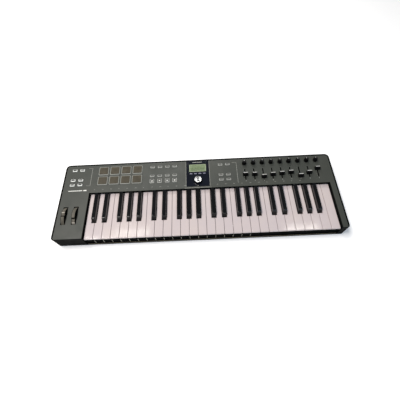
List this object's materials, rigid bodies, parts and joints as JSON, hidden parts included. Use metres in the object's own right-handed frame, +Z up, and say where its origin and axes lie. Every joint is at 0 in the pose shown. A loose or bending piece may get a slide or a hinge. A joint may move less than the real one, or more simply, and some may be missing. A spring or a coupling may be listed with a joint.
{
  "type": "midi keyboard",
  "caption": "Desktop MIDI controller keyboard with full-size keys, two wheels, drum pads, keypads, a display with a dial, and strips of knobs and faders.",
  "frame": {"origin": "middle of the case's outline, on the surface that the feet stand on", "axes": "+Z up, +X to the player's right along the keys, +Y away from the player"},
  "size_m": [0.785, 0.237, 0.0618],
  "materials": {
    "case_top": "fine matt texture",
    "case_bottom": "matt",
    "key_white": "gloss",
    "key_black": "gloss",
    "bezel_gloss": "high gloss",
    "lcd_module": "back-lit liquid crystal behind clear glass",
    "keypad_rubber": "satin silicone with printed top",
    "pad_rubber": "matt silicone",
    "knob_plastic": "satin",
    "dial_metal": "spun satin",
    "wheel_plastic": "matt soft-touch",
    "chassis_plastic": "matt",
    "circuit_board": "solder mask",
    "component_metal": "plated",
    "dome_rubber": "silicone",
    "socket_plastic": "moulded",
    "screw_steel": "zinc plated",
    "foot_rubber": "matt"
  },
  "bodies": {
    "case": {"top_case": "case_top", "bottom_case": "case_bottom", "display_bezel": "bezel_gloss", "display_module": "lcd_module", "keybed_chassis": "chassis_plastic", "key_contact_board": "circuit_board", "key_domes": "dome_rubber", "main_board": "circuit_board", "control_board": "circuit_board", "slide_pots": "component_metal", "rotary_encoders": "component_metal", "wheel_bracket": "chassis_plastic", "rear_sockets": "socket_plastic", "rubber_feet": "foot_rubber", "case_screws": "screw_steel"},
    "white_comb_ceg_1": {"white_comb_ceg_1": "key_white"},
    "white_comb_dfa_1": {"white_comb_dfa_1": "key_white"},
    "black_comb_1": {"black_comb_1": "key_black"},
    "white_comb_ceg_2": {"white_comb_ceg_2": "key_white"},
    "white_comb_dfa_2": {"white_comb_dfa_2": "key_white"},
    "black_comb_2": {"black_comb_2": "key_black"},
    "white_comb_ceg_3": {"white_comb_ceg_3": "key_white"},
    "white_comb_dfa_3": {"white_comb_dfa_3": "key_white"},
    "black_comb_3": {"black_comb_3": "key_black"},
    "white_comb_ceg_4": {"white_comb_ceg_4": "key_white"},
    "white_comb_dfa_4": {"white_comb_dfa_4": "key_white"},
    "black_comb_4": {"black_comb_4": "key_black"},
    "left_keypad": {"left_keypad": "keypad_rubber"},
    "centre_keypad": {"centre_keypad": "keypad_rubber"},
    "right_keypad": {"right_keypad": "keypad_rubber"},
    "display_keypad": {"display_keypad": "keypad_rubber"},
    "pad_1": {"pad_1": "pad_rubber"},
    "pad_2": {"pad_2": "pad_rubber"},
    "pad_3": {"pad_3": "pad_rubber"},
    "pad_4": {"pad_4": "pad_rubber"},
    "pad_5": {"pad_5": "pad_rubber"},
    "pad_6": {"pad_6": "pad_rubber"},
    "pad_7": {"pad_7": "pad_rubber"},
    "pad_8": {"pad_8": "pad_rubber"},
    "knob_1": {"knob_1": "knob_plastic"},
    "fader_cap_1": {"fader_cap_1": "knob_plastic"},
    "knob_2": {"knob_2": "knob_plastic"},
    "fader_cap_2": {"fader_cap_2": "knob_plastic"},
    "knob_3": {"knob_3": "knob_plastic"},
    "fader_cap_3": {"fader_cap_3": "knob_plastic"},
    "knob_4": {"knob_4": "knob_plastic"},
    "fader_cap_4": {"fader_cap_4": "knob_plastic"},
    "knob_5": {"knob_5": "knob_plastic"},
    "fader_cap_5": {"fader_cap_5": "knob_plastic"},
    "knob_6": {"knob_6": "knob_plastic"},
    "fader_cap_6": {"fader_cap_6": "knob_plastic"},
    "knob_7": {"knob_7": "knob_plastic"},
    "fader_cap_7": {"fader_cap_7": "knob_plastic"},
    "knob_8": {"knob_8": "knob_plastic"},
    "fader_cap_8": {"fader_cap_8": "knob_plastic"},
    "knob_9": {"knob_9": "knob_plastic"},
    "fader_cap_9": {"fader_cap_9": "knob_plastic"},
    "main_dial": {"main_dial": "dial_metal"},
    "pitch_wheel": {"pitch_wheel": "wheel_plastic"},
    "mod_wheel": {"mod_wheel": "wheel_plastic"}
  },
  "joints": [
    {"name": "pitch_wheel_turn", "type": "hinge", "parent": "case", "child": "pitch_wheel", "pos_m": [-0.3683, -0.04975, 0.0265], "axis": [-1, 0, 0], "range_deg": [-27, 27], "stiffness_Nm_per_rad": 0.08},
    {"name": "mod_wheel_turn", "type": "hinge", "parent": "case", "child": "mod_wheel", "pos_m": [-0.3393, -0.04975, 0.0265], "axis": [-1, 0, 0], "range_deg": [0, 50]},
    {"name": "white_comb_ceg_1_press", "type": "hinge", "parent": "case", "child": "white_comb_ceg_1", "pos_m": [0, 0.061, 0.027], "axis": [1, 0, 0], "range_deg": [0, 3], "stiffness_Nm_per_rad": 2, "springref_deg": -6.88},
    {"name": "white_comb_dfa_1_press", "type": "hinge", "parent": "case", "child": "white_comb_dfa_1", "pos_m": [0, 0.071, 0.027], "axis": [1, 0, 0], "range_deg": [0, 3], "stiffness_Nm_per_rad": 2, "springref_deg": -6.88},
    {"name": "black_comb_1_press", "type": "hinge", "parent": "case", "child": "black_comb_1", "pos_m": [0, 0.081, 0.027], "axis": [1, 0, 0], "range_deg": [0, 3], "stiffness_Nm_per_rad": 2, "springref_deg": -6.88},
    {"name": "fader_1_slide", "type": "slide", "parent": "case", "child": "fader_cap_1", "axis": [0, 1, 0], "range_m": [-0.013, 0.017]},
    {"name": "fader_2_slide", "type": "slide", "parent": "case", "child": "fader_cap_2", "axis": [0, 1, 0], "range_m": [-0.012, 0.018]},
    {"name": "fader_3_slide", "type": "slide", "parent": "case", "child": "fader_cap_3", "axis": [0, 1, 0], "range_m": [-0.0035, 0.0265]},
    {"name": "fader_4_slide", "type": "slide", "parent": "case", "child": "fader_cap_4", "axis": [0, 1, 0], "range_m": [-0.009, 0.021]},
    {"name": "fader_5_slide", "type": "slide", "parent": "case", "child": "fader_cap_5", "axis": [0, 1, 0], "range_m": [-0.011, 0.019]},
    {"name": "fader_6_slide", "type": "slide", "parent": "case", "child": "fader_cap_6", "axis": [0, 1, 0], "range_m": [-0.0135, 0.0165]},
    {"name": "fader_7_slide", "type": "slide", "parent": "case", "child": "fader_cap_7", "axis": [0, 1, 0], "range_m": [-0.0005, 0.0295]},
    {"name": "fader_8_slide", "type": "slide", "parent": "case", "child": "fader_cap_8", "axis": [0, 1, 0], "range_m": [-0.01, 0.02]},
    {"name": "fader_9_slide", "type": "slide", "parent": "case", "child": "fader_cap_9", "axis": [0, 1, 0], "range_m": [-0.023, 0.007]},
    {"name": "knob_1_turn", "type": "hinge", "parent": "case", "child": "knob_1", "pos_m": [0.1386, 0.096, 0.05], "axis": [0, 0, 1], "continuous": true},
    {"name": "knob_2_turn", "type": "hinge", "parent": "case", "child": "knob_2", "pos_m": [0.1647, 0.096, 0.05], "axis": [0, 0, 1], "continuous": true},
    {"name": "knob_3_turn", "type": "hinge", "parent": "case", "child": "knob_3", "pos_m": [0.1908, 0.096, 0.05], "axis": [0, 0, 1], "continuous": true},
    {"name": "main_dial_turn", "type": "hinge", "parent": "case", "child": "main_dial", "pos_m": [0.0008, 0.0445, 0.05], "axis": [0, 0, 1], "continuous": true},
    {"name": "pad_1_press", "type": "slide", "parent": "case", "child": "pad_1", "axis": [0, 0, -1], "range_m": [0, 0.0012], "stiffness_N_per_m": 2500, "springref_m": -0.0008},
    {"name": "pad_2_press", "type": "slide", "parent": "case", "child": "pad_2", "axis": [0, 0, -1], "range_m": [0, 0.0012], "stiffness_N_per_m": 2500, "springref_m": -0.0008},
    {"name": "pad_3_press", "type": "slide", "parent": "case", "child": "pad_3", "axis": [0, 0, -1], "range_m": [0, 0.0012], "stiffness_N_per_m": 2500, "springref_m": -0.0008},
    {"name": "pad_4_press", "type": "slide", "parent": "case", "child": "pad_4", "axis": [0, 0, -1], "range_m": [0, 0.0012], "stiffness_N_per_m": 2500, "springref_m": -0.0008},
    {"name": "left_keypad_press", "type": "slide", "parent": "case", "child": "left_keypad", "axis": [0, 0, -1], "range_m": [0, 0.0008], "stiffness_N_per_m": 2500, "springref_m": -0.0006},
    {"name": "centre_keypad_press", "type": "slide", "parent": "case", "child": "centre_keypad", "axis": [0, 0, -1], "range_m": [0, 0.0008], "stiffness_N_per_m": 2500, "springref_m": -0.0006},
    {"name": "right_keypad_press", "type": "slide", "parent": "case", "child": "right_keypad", "axis": [0, 0, -1], "range_m": [0, 0.0008], "stiffness_N_per_m": 2500, "springref_m": -0.0006},
    {"name": "display_keypad_press", "type": "slide", "parent": "case", "child": "display_keypad", "axis": [0, 0, -1], "range_m": [0, 0.0008], "stiffness_N_per_m": 2500, "springref_m": -0.0006},
    {"name": "white_comb_ceg_2_press", "type": "hinge", "parent": "case", "child": "white_comb_ceg_2", "pos_m": [0, 0.061, 0.027], "axis": [1, 0, 0], "range_deg": [0, 3], "stiffness_Nm_per_rad": 2, "springref_deg": -6.88},
    {"name": "white_comb_dfa_2_press", "type": "hinge", "parent": "case", "child": "white_comb_dfa_2", "pos_m": [0, 0.071, 0.027], "axis": [1, 0, 0], "range_deg": [0, 3], "stiffness_Nm_per_rad": 2, "springref_deg": -6.88},
    {"name": "black_comb_2_press", "type": "hinge", "parent": "case", "child": "black_comb_2", "pos_m": [0, 0.081, 0.027], "axis": [1, 0, 0], "range_deg": [0, 3], "stiffness_Nm_per_rad": 2, "springref_deg": -6.88},
    {"name": "white_comb_ceg_3_press", "type": "hinge", "parent": "case", "child": "white_comb_ceg_3", "pos_m": [0, 0.061, 0.027], "axis": [1, 0, 0], "range_deg": [0, 3], "stiffness_Nm_per_rad": 2, "springref_deg": -6.88},
    {"name": "white_comb_dfa_3_press", "type": "hinge", "parent": "case", "child": "white_comb_dfa_3", "pos_m": [0, 0.071, 0.027], "axis": [1, 0, 0], "range_deg": [0, 3], "stiffness_Nm_per_rad": 2, "springref_deg": -6.88},
    {"name": "black_comb_3_press", "type": "hinge", "parent": "case", "child": "black_comb_3", "pos_m": [0, 0.081, 0.027], "axis": [1, 0, 0], "range_deg": [0, 3], "stiffness_Nm_per_rad": 2, "springref_deg": -6.88},
    {"name": "white_comb_ceg_4_press", "type": "hinge", "parent": "case", "child": "white_comb_ceg_4", "pos_m": [0, 0.061, 0.027], "axis": [1, 0, 0], "range_deg": [0, 3], "stiffness_Nm_per_rad": 2, "springref_deg": -6.88},
    {"name": "white_comb_dfa_4_press", "type": "hinge", "parent": "case", "child": "white_comb_dfa_4", "pos_m": [0, 0.071, 0.027], "axis": [1, 0, 0], "range_deg": [0, 3], "stiffness_Nm_per_rad": 2, "springref_deg": -6.88},
    {"name": "black_comb_4_press", "type": "hinge", "parent": "case", "child": "black_comb_4", "pos_m": [0, 0.081, 0.027], "axis": [1, 0, 0], "range_deg": [0, 3], "stiffness_Nm_per_rad": 2, "springref_deg": -6.88},
    {"name": "knob_4_turn", "type": "hinge", "parent": "case", "child": "knob_4", "pos_m": [0.2169, 0.096, 0.05], "axis": [0, 0, 1], "continuous": true},
    {"name": "knob_5_turn", "type": "hinge", "parent": "case", "child": "knob_5", "pos_m": [0.243, 0.096, 0.05], "axis": [0, 0, 1], "continuous": true},
    {"name": "knob_6_turn", "type": "hinge", "parent": "case", "child": "knob_6", "pos_m": [0.2691, 0.096, 0.05], "axis": [0, 0, 1], "continuous": true},
    {"name": "knob_7_turn", "type": "hinge", "parent": "case", "child": "knob_7", "pos_m": [0.2952, 0.096, 0.05], "axis": [0, 0, 1], "continuous": true},
    {"name": "knob_8_turn", "type": "hinge", "parent": "case", "child": "knob_8", "pos_m": [0.3213, 0.096, 0.05], "axis": [0, 0, 1], "continuous": true},
    {"name": "knob_9_turn", "type": "hinge", "parent": "case", "child": "knob_9", "pos_m": [0.3474, 0.096, 0.05], "axis": [0, 0, 1], "continuous": true},
    {"name": "pad_5_press", "type": "slide", "parent": "case", "child": "pad_5", "axis": [0, 0, -1], "range_m": [0, 0.0012], "stiffness_N_per_m": 2500, "springref_m": -0.0008},
    {"name": "pad_6_press", "type": "slide", "parent": "case", "child": "pad_6", "axis": [0, 0, -1], "range_m": [0, 0.0012], "stiffness_N_per_m": 2500, "springref_m": -0.0008},
    {"name": "pad_7_press", "type": "slide", "parent": "case", "child": "pad_7", "axis": [0, 0, -1], "range_m": [0, 0.0012], "stiffness_N_per_m": 2500, "springref_m": -0.0008},
    {"name": "pad_8_press", "type": "slide", "parent": "case", "child": "pad_8", "axis": [0, 0, -1], "range_m": [0, 0.0012], "stiffness_N_per_m": 2500, "springref_m": -0.0008}
  ]
}
